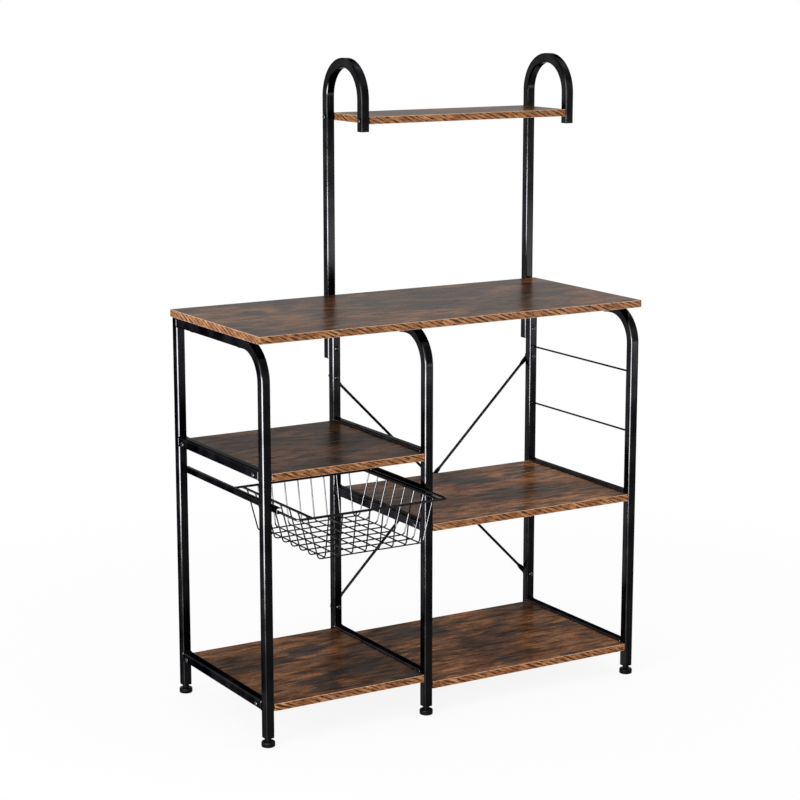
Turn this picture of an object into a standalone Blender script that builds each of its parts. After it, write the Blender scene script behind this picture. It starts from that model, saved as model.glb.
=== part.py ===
"""A microwave stand: three square tube frames, laminate boards, a wire basket and a hutch shelf.

Metres, +Z up. +X runs along the worktop, +Y points to the back, and the origin is on the floor
under the middle of the worktop.
"""
import math

import bmesh
import bpy
from mathutils import Matrix, Vector

# Fits
seat_gap = 0.0003
hole_clearance = 0.0003
cut_overrun = 0.002
merge_distance = 0.00001

# How finely round shapes are divided
corner_steps = 2
bend_steps = 7
hook_steps = 12
hole_sides = 8
foot_steps = 16
bolt_steps = 10
rod_sides = 10
wire_corner_steps = 3
wire_resolution = 2
smooth_angle = math.radians(35)

# Square steel tube of the frames and the hutch
tube_side = 0.020
tube_wall = 0.0012
tube_corner = 0.004

# Worktop and boards
worktop_width = 0.900
worktop_depth = 0.396
worktop_top = 0.817
board_thickness = 0.015
board_edge_round = 0.0007

# The three frames
frame_inset = 0.004
left_bay = 0.344
top_bend_radius = 0.068

# Tops of the boards, and how far the rails stand above their boards
left_shelf_top = 0.5493
right_shelf_top = 0.4015
left_floor_top = 0.0873
right_floor_step = 0.0179
rail_rise = 0.0045

# Angle under the right floor board's inner end
angle_leg = 0.014
angle_wall = 0.0015

# Two thin rods across the right frame, below the worktop's underside
side_rod_radius = 0.002
side_rod_drops = (0.1386, 0.2672)

# Hutch posts and shelf, with drops below the hooks' crowns
hutch_height = 1.318
hook_radius = 0.073
hook_end_drop = 0.146
hutch_shelf_drop = 0.117
post_overlap = 0.1203

# Round headed bolts, and the nut behind the brace's crossing
bolt_radius = 0.003
bolt_head_radius = 0.005
bolt_head_height = 0.0028
bolt_crown_width_share = 0.7
bolt_crown_height_share = 0.75
bolt_rim_height_share = 0.3
bolt_reach = 0.025
bolt_inset = 0.020
nut_width = 0.010
nut_height = 0.005
nut_sides = 6
bolt_past_nut = 0.002

# Holes for the screws that go up through the top rails into the worktop
screw_hole_radius = 0.0023
screw_hole_depth = 0.010
top_screw_shares = (-0.24, 0.32)

# Cross brace behind the right bay
brace_upper_drop = 0.1611
brace_lower_rise = 0.062
brace_rod_radius = 0.003
brace_tab_half_width = 0.0055
brace_tab_thickness = 0.0025
brace_tab_past_bolt = 0.009
brace_tab_length = 0.020
brace_flatten_length = 0.012

# Bolts that hold the hutch posts to the back legs, below the worktop's underside
post_bolt_drops = (0.0981, 0.038)

# Levelling feet and the plugs they screw into
foot_height = 0.018
foot_disc_radius = 0.0137
foot_disc_height = 0.011
foot_disc_edge = 0.002
foot_collar_radius = 0.0065
foot_stud_radius = 0.004
foot_stud_chamfer = 0.0008
foot_stud_top = 0.045
plug_flange = 0.002
plug_depth = 0.018

# Basket runners
runner_drop = 0.0639
runner_height = 0.012
runner_depth = 0.010
runner_wall = 0.0012
runner_past_leg = 0.017

# Wire basket, shown pulled out by basket_pull. Its hanging wires stand nearer the centre leg by
# basket_body_shift
basket_pull = 0.094
basket_home_setback = 0.003
basket_length = 0.294
basket_flange = 0.0254
basket_body_shift = 0.007
basket_rim_radius = 0.0025
basket_rim_play = 0.0015
basket_rim_corner = 0.006
basket_wire_radius = 0.0014
basket_wire_corner = 0.008
weld_sink = 0.0006
basket_depth = 0.0885
basket_side_lean = 0.024
basket_end_lean = 0.016
long_wire_count = 8
long_wire_margin = 0.0115
cross_wire_count = 8
cross_wire_margin = 0.006

# Finishes: colour, roughness and metallic
black_enamel = ((0.012, 0.012, 0.013, 1.0), 0.28, 0.0)
black_plastic = ((0.020, 0.020, 0.021, 1.0), 0.50, 0.0)
black_zinc = ((0.060, 0.060, 0.064, 1.0), 0.25, 1.0)
brown_laminate = ((0.120, 0.062, 0.034, 1.0), 0.42, 0.0)

# Places worked out from the sizes above
half_side = tube_side / 2
leg_y = worktop_depth / 2 - half_side
left_x = -worktop_width / 2 + frame_inset + half_side
right_x = -left_x
centre_x = left_x + tube_side + left_bay
worktop_bottom = worktop_top - board_thickness
frame_top = worktop_bottom - seat_gap
right_floor_top = left_floor_top - right_floor_step
hutch_shelf_top = hutch_height - hutch_shelf_drop
hook_end = hutch_height - hook_end_drop
post_bottom = worktop_bottom - post_overlap
leg_bottom = foot_height + plug_flange + seat_gap
post_y = leg_y + tube_side + seat_gap
hook_y = post_y - 2 * hook_radius
post_face_y = post_y + half_side
bolt_y = leg_y - half_side - bolt_inset

world_x = Vector((1, 0, 0))
world_y = Vector((0, 1, 0))
world_z = Vector((0, 0, 1))

for old in list(bpy.data.objects):
    bpy.data.objects.remove(old, do_unlink=True)

parts = bpy.data.collections.new("microwave_stand")
cutters = bpy.data.collections.new("cutters")
bpy.context.scene.collection.children.link(parts)
bpy.context.scene.collection.children.link(cutters)


def paint(piece, finish):
    """Give the piece a material of its own."""
    colour, roughness, metallic = finish
    material = bpy.data.materials.new(piece.name + "_finish")
    material.use_nodes = True
    shader = material.node_tree.nodes["Principled BSDF"]
    shader.inputs["Base Color"].default_value = colour
    shader.inputs["Roughness"].default_value = roughness
    shader.inputs["Metallic"].default_value = metallic
    piece.data.materials.clear()
    piece.data.materials.append(material)


def place(name, data, finish, location=(0, 0, 0)):
    piece = bpy.data.objects.new(name, data)
    piece.location = location
    parts.objects.link(piece)
    paint(piece, finish)
    return piece


def mesh_from(name, bm, smooth=True):
    mesh = bpy.data.meshes.new(name)
    bm.to_mesh(mesh)
    bm.free()
    if smooth:
        mesh.shade_smooth()
        mesh.set_sharp_from_angle(angle=smooth_angle)
    return mesh


def turned_to(direction, point):
    """A matrix that takes local Z to the direction and the origin to the point."""
    return Matrix.Translation(point) @ world_z.rotation_difference(Vector(direction)).to_matrix().to_4x4()


def drill(piece, holes):
    """Cut round holes. Each is a start point, a direction, a length and a radius."""
    bm = bmesh.new()
    for start, direction, length, radius in holes:
        middle = Vector(start) + Vector(direction) * length / 2
        corner = radius / math.cos(math.pi / hole_sides)
        bmesh.ops.create_cone(bm, cap_ends=True, segments=hole_sides, radius1=corner, radius2=corner,
                              depth=length, matrix=turned_to(direction, middle))
    cutter = bpy.data.objects.new(piece.name + "_holes", mesh_from(piece.name + "_holes", bm, False))
    cutter.hide_render = True
    cutter.display_type = "WIRE"
    cutters.objects.link(cutter)
    cut = piece.modifiers.new("Holes", "BOOLEAN")
    cut.operation = "DIFFERENCE"
    cut.solver = "EXACT"
    cut.object = cutter


def square_ring(bm, side, corner):
    """A loop of vertices round a square with rounded corners, in the local XY plane."""
    ring = []
    inner = side / 2 - corner
    for quarter in range(4):
        centre = Vector((inner, inner, 0))
        for step in range(corner_steps + 1):
            angle = math.pi / 2 * step / corner_steps
            point = centre + Vector((corner * math.cos(angle), corner * math.sin(angle), 0))
            ring.append(bm.verts.new(Matrix.Rotation(quarter * math.pi / 2, 3, "Z") @ point))
    edges = [bm.edges.new((ring[index - 1], ring[index])) for index in range(len(ring))]
    return ring + edges


def square_tube(name, start, heading, moves):
    """A hollow square tube swept from start. A move is a run length, or a bend towards a side.

    A bend is a tuple of its centre line radius, its angle and the direction of its centre.
    """
    bm = bmesh.new()
    end = square_ring(bm, tube_side, tube_corner)
    bmesh.ops.transform(bm, matrix=turned_to(heading, (0, 0, 0)), verts=bm.verts)
    point = Vector((0, 0, 0))
    heading = Vector(heading)
    for move in moves:
        if isinstance(move, tuple):
            radius, angle, side = move
            axis = heading.cross(Vector(side))
            centre = point + Vector(side) * radius
            steps = hook_steps if angle > math.pi / 2 else bend_steps
            end = bmesh.ops.spin(bm, geom=end, cent=centre, axis=axis, angle=angle, steps=steps,
                                 use_duplicate=False)["geom_last"]
            turn = Matrix.Rotation(angle, 3, axis)
            point = centre + turn @ (point - centre)
            heading = turn @ heading
        else:
            edges = [item for item in end if isinstance(item, bmesh.types.BMEdge)]
            end = bmesh.ops.extrude_edge_only(bm, edges=edges)["geom"]
            moved = [item for item in end if isinstance(item, bmesh.types.BMVert)]
            bmesh.ops.translate(bm, vec=heading * move, verts=moved)
            end = [item for item in end if not isinstance(item, bmesh.types.BMFace)]
            point = point + heading * move
    bmesh.ops.recalc_face_normals(bm, faces=bm.faces)
    piece = place(name, mesh_from(name, bm), black_enamel, start)
    wall = piece.modifiers.new("Wall", "SOLIDIFY")
    wall.thickness = tube_wall
    wall.offset = -1
    wall.use_even_offset = True
    return piece


def board(name, low, high):
    """A laminate board between two corners, with slightly eased edges."""
    low = Vector(low)
    high = Vector(high)
    bm = bmesh.new()
    bmesh.ops.create_cube(bm, size=1)
    bmesh.ops.scale(bm, vec=high - low, verts=bm.verts)
    piece = place(name, mesh_from(name, bm, False), brown_laminate, (low + high) / 2)
    ease = piece.modifiers.new("Eased edges", "BEVEL")
    ease.width = board_edge_round
    ease.segments = 1
    return piece


def turned_mesh(name, outline, steps):
    """The mesh of an outline of (radius, height) points, given top to bottom, turned about Z."""
    bm = bmesh.new()
    verts = [bm.verts.new((radius, 0, height)) for radius, height in outline]
    for first, second in zip(verts, verts[1:]):
        bm.edges.new((first, second))
    profile = bpy.data.objects.new(name, mesh_from(name, bm, False))
    parts.objects.link(profile)
    turn = profile.modifiers.new("Turn", "SCREW")
    turn.steps = steps
    turn.render_steps = steps
    turn.use_merge_vertices = True
    turn.merge_threshold = merge_distance
    return settled_mesh(profile)


def settled_mesh(piece):
    """The finished mesh of a helper object, with its seams welded. The object is removed."""
    graph = bpy.context.evaluated_depsgraph_get()
    mesh = bpy.data.meshes.new_from_object(piece.evaluated_get(graph))
    mesh.transform(piece.matrix_world)
    bpy.data.objects.remove(piece, do_unlink=True)
    bm = bmesh.new()
    bm.from_mesh(mesh)
    bmesh.ops.remove_doubles(bm, verts=bm.verts, dist=merge_distance)
    bm.to_mesh(mesh)
    bm.free()
    mesh.shade_smooth()
    mesh.set_sharp_from_angle(angle=smooth_angle)
    return mesh


def bolt_mesh(name, shank):
    """A low round head above Z = 0 and a shank below it."""
    return turned_mesh(name, [
        (0, bolt_head_height),
        (bolt_head_radius * bolt_crown_width_share, bolt_head_height * bolt_crown_height_share),
        (bolt_head_radius, bolt_head_height * bolt_rim_height_share), (bolt_head_radius, 0),
        (bolt_radius, 0), (bolt_radius, -shank), (0, -shank)], bolt_steps)


def aimed(name, mesh, direction, point, finish):
    """A copy of a mesh whose local Z takes the direction and whose origin is the point."""
    piece = place(name, mesh.copy(), finish, point)
    piece.rotation_mode = "QUATERNION"
    piece.rotation_quaternion = world_z.rotation_difference(Vector(direction))


def extruded(name, outlines, length, middle, finish):
    """A solid along Y whose section in the XZ plane is an outline with its holes."""
    curve = bpy.data.curves.new(name, "CURVE")
    curve.dimensions = "2D"
    curve.fill_mode = "BOTH"
    curve.extrude = length / 2
    for outline in outlines:
        spline = curve.splines.new("POLY")
        spline.points.add(len(outline) - 1)
        for target, point in zip(spline.points, outline):
            target.co = (point[0], point[1], 0, 1)
        spline.use_cyclic_u = True
    piece = place(name, curve, finish, middle)
    piece.rotation_euler = (math.pi / 2, 0, 0)


def circle_points(radius, sides):
    return [(radius * math.cos(math.tau * index / sides), radius * math.sin(math.tau * index / sides))
            for index in range(sides)]


def rounded_path(points, radius, cyclic=False):
    """The points of a path whose corners are rounded by arcs."""
    points = [Vector(point) for point in points]
    path = []
    for index, corner in enumerate(points):
        if not cyclic and index in (0, len(points) - 1):
            path.append(corner)
            continue
        before = (points[index - 1] - corner).normalized()
        after = (points[(index + 1) % len(points)] - corner).normalized()
        opening = before.angle(after)
        centre = corner + (before + after).normalized() * radius / math.sin(opening / 2)
        first = corner + before * radius / math.tan(opening / 2) - centre
        axis = before.cross(after)
        for step in range(wire_corner_steps + 1):
            turn = Matrix.Rotation(-(math.pi - opening) * step / wire_corner_steps, 3, axis)
            path.append(centre + turn @ first)
    return path


def wire(name, path, radius, cyclic=False):
    """A round wire along a path."""
    curve = bpy.data.curves.new(name, "CURVE")
    curve.dimensions = "3D"
    curve.bevel_depth = radius
    curve.bevel_resolution = wire_resolution
    curve.use_fill_caps = not cyclic
    spline = curve.splines.new("POLY")
    spline.points.add(len(path) - 1)
    for target, point in zip(spline.points, path):
        target.co = (*point, 1)
    spline.use_cyclic_u = cyclic
    return place(name, curve, black_enamel)


def loft(name, sections, finish):
    """A closed solid through unit circles that each section's matrix shapes."""
    bm = bmesh.new()
    bmesh.ops.create_circle(bm, cap_ends=False, segments=rod_sides, radius=1)
    bmesh.ops.transform(bm, matrix=sections[0], verts=bm.verts)
    edges = list(bm.edges)
    for before, after in zip(sections, sections[1:]):
        made = bmesh.ops.extrude_edge_only(bm, edges=edges)["geom"]
        verts = [item for item in made if isinstance(item, bmesh.types.BMVert)]
        edges = [item for item in made if isinstance(item, bmesh.types.BMEdge)]
        bmesh.ops.transform(bm, matrix=after @ before.inverted(), verts=verts)
    bmesh.ops.holes_fill(bm, edges=[edge for edge in bm.edges if edge.is_boundary])
    bmesh.ops.recalc_face_normals(bm, faces=bm.faces)
    return place(name, mesh_from(name, bm), finish)


def plug_mesh(name):
    """A square plug for a tube's end: its flange is below Z = 0 and its body above."""
    body_side = tube_side - 2 * tube_wall - 2 * seat_gap
    bm = bmesh.new()
    ring = square_ring(bm, tube_side, tube_corner)
    edges = [item for item in ring if isinstance(item, bmesh.types.BMEdge)]
    bmesh.ops.translate(bm, vec=(0, 0, -plug_flange), verts=bm.verts)
    for rise, share in ((plug_flange, 1), (0, body_side / tube_side), (plug_depth, 1)):
        made = bmesh.ops.extrude_edge_only(bm, edges=edges)["geom"]
        verts = [item for item in made if isinstance(item, bmesh.types.BMVert)]
        edges = [item for item in made if isinstance(item, bmesh.types.BMEdge)]
        bmesh.ops.scale(bm, vec=(share, share, 1), verts=verts)
        bmesh.ops.translate(bm, vec=(0, 0, rise), verts=verts)
    bmesh.ops.holes_fill(bm, edges=[edge for edge in bm.edges if edge.is_boundary])
    bmesh.ops.recalc_face_normals(bm, faces=bm.faces)
    return mesh_from(name, bm)


bolt_hole_radius = bolt_radius + hole_clearance


def through_tube(point, direction, radius=bolt_hole_radius):
    """A hole through both walls of a tube whose centre line passes the point."""
    length = tube_side + 2 * cut_overrun
    return Vector(point) - direction * length / 2, direction, length, radius


# The heights of the bolts that go sideways into the boards' ends
board_middle = board_thickness / 2
left_shelf_bolt_z = left_shelf_top - board_middle
right_shelf_bolt_z = right_shelf_top - board_middle
left_floor_bolt_z = left_floor_top - board_middle
right_floor_bolt_z = right_floor_top - board_middle
hutch_bolt_z = hutch_shelf_top - board_middle


def rail(name, x, board_top, bolt_z):
    """A rail between the legs of the frame at x, drilled for the two bolts into its board."""
    length = 2 * (leg_y - half_side - seat_gap)
    z = board_top + rail_rise - half_side
    piece = square_tube(name, (x, -length / 2, z), world_y, [length])
    drill(piece, [through_tube((x, side * bolt_y, bolt_z), world_x) for side in (-1, 1)])


# The three frames, each a bent front leg with its top rail, a straight back leg and the rails
brace_lower_bolt = right_floor_top + brace_lower_rise
brace_upper_bolt = worktop_bottom - brace_upper_drop
brace_bolt_heights = (brace_lower_bolt, brace_upper_bolt)
post_bolt_heights = tuple(worktop_bottom - drop for drop in post_bolt_drops)
top_screw_places = [2 * leg_y * share for share in top_screw_shares]
for side_name, x in (("left", left_x), ("centre", centre_x), ("right", right_x)):
    front_run = frame_top - half_side - top_bend_radius - leg_bottom
    top_run = 2 * leg_y - half_side - seat_gap - top_bend_radius
    bent_leg = square_tube(side_name + "_bent_leg", (x, -leg_y, leg_bottom), world_z,
                           [front_run, (top_bend_radius, math.pi / 2, world_y), top_run])
    drill(bent_leg, [through_tube((x, y, frame_top - half_side), world_z, screw_hole_radius)
                     for y in top_screw_places])
    back_leg = square_tube(side_name + "_back_leg", (x, leg_y, leg_bottom), world_z,
                           [frame_top - leg_bottom])
    if x != left_x:
        drill(back_leg, [through_tube((x, leg_y, z), world_y)
                         for z in brace_bolt_heights + post_bolt_heights])

rail("left_shelf_rail", left_x, left_shelf_top, left_shelf_bolt_z)
rail("left_floor_rail", left_x, left_floor_top, left_floor_bolt_z)
rail("centre_left_shelf_rail", centre_x, left_shelf_top, left_shelf_bolt_z)
rail("centre_right_shelf_rail", centre_x, right_shelf_top, right_shelf_bolt_z)
rail("centre_floor_rail", centre_x, left_floor_top, left_floor_bolt_z)
rail("right_shelf_rail", right_x, right_shelf_top, right_shelf_bolt_z)
rail("right_floor_rail", right_x, right_floor_top, right_floor_bolt_z)

rod_end = leg_y - half_side - seat_gap
for rod_name, drop in zip(("upper", "lower"), side_rod_drops):
    z = worktop_bottom - drop
    wire("right_side_rod_" + rod_name, [(right_x, -rod_end, z), (right_x, rod_end, z)], side_rod_radius)


# Worktop and boards
def board_between(name, x_low, x_high, top, holes):
    """A board whose ends meet the tubes at x_low and x_high, flush with the front legs."""
    low = (x_low + half_side + seat_gap, -worktop_depth / 2, top - board_thickness)
    high = (x_high - half_side - seat_gap, leg_y - half_side - seat_gap, top)
    piece = board(name, low, high)
    drill(piece, [end_hole(low[0] if way > 0 else high[0], side * bolt_y, top - board_middle, way)
                  for way in holes for side in (-1, 1)])


def end_hole(x, y, z, way):
    """A blind hole for a bolt in a board's end."""
    direction = world_x * way
    start = Vector((x, y, z)) - direction * cut_overrun
    return start, direction, cut_overrun + bolt_reach + seat_gap, bolt_hole_radius


worktop = board("worktop", (-worktop_width / 2, -worktop_depth / 2, worktop_bottom),
                (worktop_width / 2, worktop_depth / 2, worktop_top))
drill(worktop, [((x, y, worktop_bottom - cut_overrun), world_z, cut_overrun + screw_hole_depth,
                 screw_hole_radius) for x in (left_x, centre_x, right_x) for y in top_screw_places])
board_between("left_shelf", left_x, centre_x, left_shelf_top, (1, -1))
board_between("right_shelf", centre_x, right_x, right_shelf_top, (1, -1))
board_between("left_floor_board", left_x, centre_x, left_floor_top, (1, -1))
board_between("right_floor_board", centre_x, right_x, right_floor_top, (-1,))

# Angle between the centre legs that carries the right floor board's inner end
angle_top = left_floor_top + rail_rise - tube_side - seat_gap
angle_seat = right_floor_top - board_thickness - seat_gap
angle_x = centre_x + half_side - angle_wall
angle_outline = [(0, 0), (angle_wall, 0), (angle_wall, angle_seat - angle_top),
                 (angle_leg, angle_seat - angle_top), (angle_leg, angle_seat - angle_top - angle_wall),
                 (0, angle_seat - angle_top - angle_wall)]
extruded("centre_floor_angle", [angle_outline], 2 * rod_end, (angle_x, 0, angle_top), black_enamel)

# Hutch: two hooked posts behind the back legs, and the small shelf between them
for side_name, x in (("left", centre_x), ("right", right_x)):
    hook_centre = hutch_height - half_side - hook_radius
    post = square_tube("hutch_post_" + side_name, (x, post_y, post_bottom), world_z,
                       [hook_centre - post_bottom, (hook_radius, math.pi, -world_y),
                        hook_centre - hook_end])
    drill(post, [through_tube((x, post_y, z), world_y) for z in post_bolt_heights]
          + [through_tube((x, y, hutch_bolt_z), world_x) for y in (post_y, hook_y)])
hutch_low = (centre_x + half_side + seat_gap, hook_y - half_side, hutch_shelf_top - board_thickness)
hutch_high = (right_x - half_side - seat_gap, post_face_y, hutch_shelf_top)
hutch_shelf = board("hutch_shelf", hutch_low, hutch_high)
drill(hutch_shelf, [end_hole(hutch_low[0] if way > 0 else hutch_high[0], y, hutch_bolt_z, way)
                    for way in (1, -1) for y in (post_y, hook_y)])

# Bolts through the rails and posts into the boards' left ends
side_bolt = bolt_mesh("side_bolt", tube_side + 2 * seat_gap + bolt_reach)
side_bolts = [("left_shelf_bolt", left_x, bolt_y, -bolt_y, left_shelf_bolt_z),
              ("left_floor_bolt", left_x, bolt_y, -bolt_y, left_floor_bolt_z),
              ("right_shelf_bolt", centre_x, bolt_y, -bolt_y, right_shelf_bolt_z),
              ("hutch_shelf_bolt", centre_x, post_y, hook_y, hutch_bolt_z)]
for bolt_name, x, back, front, z in side_bolts:
    for end_name, y in (("back", back), ("front", front)):
        aimed(bolt_name + "_" + end_name, side_bolt, -world_x, (x - half_side - seat_gap, y, z),
              black_zinc)

# Bolts through the back legs that hold the hutch posts and the brace
brace_y = leg_y + half_side + seat_gap + brace_tab_thickness / 2
bolt_front_y = leg_y - half_side - seat_gap
post_grip = post_face_y + seat_gap - bolt_front_y
brace_grip = brace_y + brace_tab_thickness / 2 + seat_gap - bolt_front_y
post_bolt = bolt_mesh("post_bolt", post_grip + nut_height + bolt_past_nut)
brace_bolt = bolt_mesh("brace_bolt", brace_grip + nut_height + bolt_past_nut)
for side_name, x in (("centre", centre_x), ("right", right_x)):
    for end_name, post_z, brace_z in zip(("lower", "upper"), post_bolt_heights, brace_bolt_heights):
        aimed("post_bolt_" + side_name + "_" + end_name, post_bolt, -world_y,
              (x, bolt_front_y, post_z), black_zinc)
        aimed("brace_bolt_" + side_name + "_" + end_name, brace_bolt, -world_y,
              (x, bolt_front_y, brace_z), black_zinc)


# Cross brace: two rods with flattened ends and a flattened crossing
def brace_rod(name, first, last, crossing_set_back):
    """A rod between two bolt centres, set back by the given amount where the rods cross."""
    run = last - first
    length = run.length
    along = run.normalized()
    across = along.cross(world_y)
    half = length / 2
    tab_end = brace_tab_length
    flat = (brace_tab_half_width, brace_tab_thickness / 2)
    round_rod = (brace_rod_radius, brace_rod_radius)
    stations = [(-half - brace_tab_past_bolt, flat), (-half + tab_end, flat),
                (-half + tab_end + brace_flatten_length, round_rod),
                (-tab_end - brace_flatten_length, round_rod), (-tab_end, flat), (tab_end, flat),
                (tab_end + brace_flatten_length, round_rod),
                (half - tab_end - brace_flatten_length, round_rod), (half - tab_end, flat),
                (half + brace_tab_past_bolt, flat)]
    sections = []
    for place_along, (half_width, half_depth) in stations:
        away = max(abs(place_along) - tab_end, 0) / (half - tab_end)
        set_back = crossing_set_back * max(1 - away, 0)
        centre = (first + last) / 2 + along * place_along + world_y * set_back
        shape = Matrix((across * half_width, world_y * half_depth, along)).transposed().to_4x4()
        sections.append(Matrix.Translation(centre) @ shape)
    piece = loft(name, sections, black_enamel)
    reach = brace_tab_thickness + 2 * cut_overrun
    centres = [first, last, (first + last) / 2 + world_y * crossing_set_back]
    drill(piece, [(centre - world_y * reach / 2, world_y, reach, bolt_hole_radius) for centre in centres])


upper_left = Vector((centre_x, brace_y, brace_upper_bolt))
lower_right = Vector((right_x, brace_y, brace_lower_bolt))
lower_left = Vector((centre_x, brace_y, brace_lower_bolt))
upper_right = Vector((right_x, brace_y, brace_upper_bolt))
rear_rod_set_back = brace_tab_thickness + seat_gap
brace_rod("brace_rod_front", upper_left, lower_right, 0)
brace_rod("brace_rod_rear", lower_left, upper_right, rear_rod_set_back)
crossing = (upper_left + lower_right) / 2
crossing_bolt_y = crossing.y - brace_tab_thickness / 2 - seat_gap
crossing_nut_y = crossing.y + rear_rod_set_back + brace_tab_thickness / 2 + seat_gap
crossing_bolt = bolt_mesh("crossing_bolt", crossing_nut_y + nut_height + bolt_past_nut - crossing_bolt_y)
aimed("brace_centre_bolt", crossing_bolt, -world_y, (crossing.x, crossing_bolt_y, crossing.z), black_zinc)

# The nut behind the crossing
nut_corner = nut_width / 2 / math.cos(math.pi / nut_sides)
nut_outlines = [circle_points(nut_corner, nut_sides), circle_points(bolt_hole_radius, bolt_steps)]
extruded("brace_centre_nut", nut_outlines, nut_height,
         (crossing.x, crossing_nut_y + nut_height / 2, crossing.z), black_zinc)

# Leg plugs and the levelling feet that screw into them
leg_points = [(side_name + "_" + end_name, x, y)
              for side_name, x in (("left", left_x), ("centre", centre_x), ("right", right_x))
              for end_name, y in (("front", -leg_y), ("back", leg_y))]
plug = plug_mesh("leg_plug")
plug_hole_length = plug_flange + plug_depth + 2 * cut_overrun
for leg_name, x, y in leg_points:
    leg_plug = place("plug_" + leg_name, plug.copy(), black_plastic, (x, y, foot_height + plug_flange))
    drill(leg_plug, [((x, y, foot_height - cut_overrun), world_z, plug_hole_length,
                      foot_stud_radius + hole_clearance)])
foot_top = foot_height - seat_gap
foot = turned_mesh("levelling_foot", [
    (0, foot_stud_top), (foot_stud_radius - foot_stud_chamfer, foot_stud_top),
    (foot_stud_radius, foot_stud_top - foot_stud_chamfer), (foot_stud_radius, foot_top),
    (foot_collar_radius, foot_top), (foot_collar_radius, foot_disc_height),
    (foot_disc_radius - foot_disc_edge, foot_disc_height),
    (foot_disc_radius, foot_disc_height - foot_disc_edge), (foot_disc_radius, foot_disc_edge),
    (foot_disc_radius - foot_disc_edge, 0), (0, 0)], foot_steps)
for leg_name, x, y in leg_points:
    place("foot_" + leg_name, foot.copy(), black_plastic, (x, y, 0))


# Basket runners: channels on the inner faces of the left and centre legs, open to the basket
runner_bottom = left_shelf_top - runner_drop - runner_height
runner_back = leg_y + half_side
runner_front = -leg_y - half_side - runner_past_leg
runner_outline = [(0, 0), (runner_depth, 0), (runner_depth, runner_wall), (runner_wall, runner_wall),
                  (runner_wall, runner_height - runner_wall), (runner_depth, runner_height - runner_wall),
                  (runner_depth, runner_height), (0, runner_height)]


def runner(name, x, way):
    """A channel whose web stands against the legs' face at x and which opens the given way."""
    outline = [(way * across, up) for across, up in runner_outline]
    extruded(name, [outline], runner_back - runner_front,
             (x, (runner_back + runner_front) / 2, runner_bottom), black_enamel)


left_runner_x = left_x + half_side + seat_gap
centre_runner_x = centre_x - half_side - seat_gap
runner("left_basket_runner", left_runner_x, 1)
runner("centre_basket_runner", centre_runner_x, -1)

# Wire basket, hung by its outer rim in the two runners
rim_z = runner_bottom + runner_wall + seat_gap + basket_rim_radius
rim_in = runner_wall + basket_rim_play + basket_rim_radius
rim_left = left_runner_x + rim_in
rim_right = centre_runner_x - rim_in
basket_x = (rim_left + rim_right) / 2
basket_front = -worktop_depth / 2 + basket_home_setback - basket_pull
basket_back = basket_front + basket_length
basket_y = (basket_front + basket_back) / 2

half_rim = (rim_right - rim_left) / 2
half_length = basket_length / 2
half_mouth = half_rim - basket_flange
half_bottom_width = half_mouth - basket_side_lean
half_bottom_length = half_length - basket_end_lean


def hanging_wire(half_top, half_bottom, drop):
    """The (across, up) points of a U shaped wire whose ends are welded to thicker ones."""
    return [(-half_top, 0), (-half_bottom, -drop), (half_bottom, -drop), (half_top, 0)]


def evenly(count, half_span):
    """The places of evenly spaced wires from one end of a span to the other."""
    return [half_span * (2 * index / (count - 1) - 1) for index in range(count)]


side_wire_places = [basket_body_shift - half_mouth, basket_body_shift + half_mouth]
wire_pieces = [wire("basket_side_wire", [(x, -half_length, 0), (x, half_length, 0)], basket_rim_radius)
               for x in side_wire_places]
cross_shape = hanging_wire(half_mouth, half_bottom_width, basket_depth)
for y in evenly(cross_wire_count, half_bottom_length - cross_wire_margin):
    path = rounded_path([(basket_body_shift + across, y, up) for across, up in cross_shape],
                        basket_wire_corner)
    wire_pieces.append(wire("basket_cross_wire", path, basket_wire_radius))
long_drop = basket_depth - 2 * basket_wire_radius + weld_sink
long_shape = hanging_wire(half_length, half_bottom_length, long_drop)
for x in evenly(long_wire_count, half_bottom_width - long_wire_margin):
    path = rounded_path([(basket_body_shift + x, across, up) for across, up in long_shape],
                        basket_wire_corner)
    wire_pieces.append(wire("basket_long_wire", path, basket_wire_radius))

bm = bmesh.new()
for piece in wire_pieces:
    bm.from_mesh(settled_mesh(piece))
welded = bpy.data.objects.new("basket_wires", mesh_from("basket_wires", bm))
welded.hide_render = True
welded.display_type = "WIRE"
cutters.objects.link(welded)

rim_path = rounded_path([(-half_rim, -half_length, 0), (half_rim, -half_length, 0),
                         (half_rim, half_length, 0), (-half_rim, half_length, 0)],
                        basket_rim_corner, True)
rim_mesh = settled_mesh(wire("basket_rim", rim_path, basket_rim_radius, True))
basket = place("basket", rim_mesh, black_enamel, (basket_x, basket_y, rim_z))
welded.location = basket.location
weld = basket.modifiers.new("Welds", "BOOLEAN")
weld.operation = "UNION"
weld.solver = "EXACT"
weld.use_self = True
weld.object = welded
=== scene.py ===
"""A microwave stand as it is sold: black enamelled tube frames, rustic brown laminate boards, a wire
basket pulled part of the way out and a small hutch shelf between two hooked posts.

Metres, +Z up. +X runs along the worktop, +Y points to the back, and the floor is at Z = 0.
"""
import math

import bmesh
import bpy
from mathutils import Matrix, Vector


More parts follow.
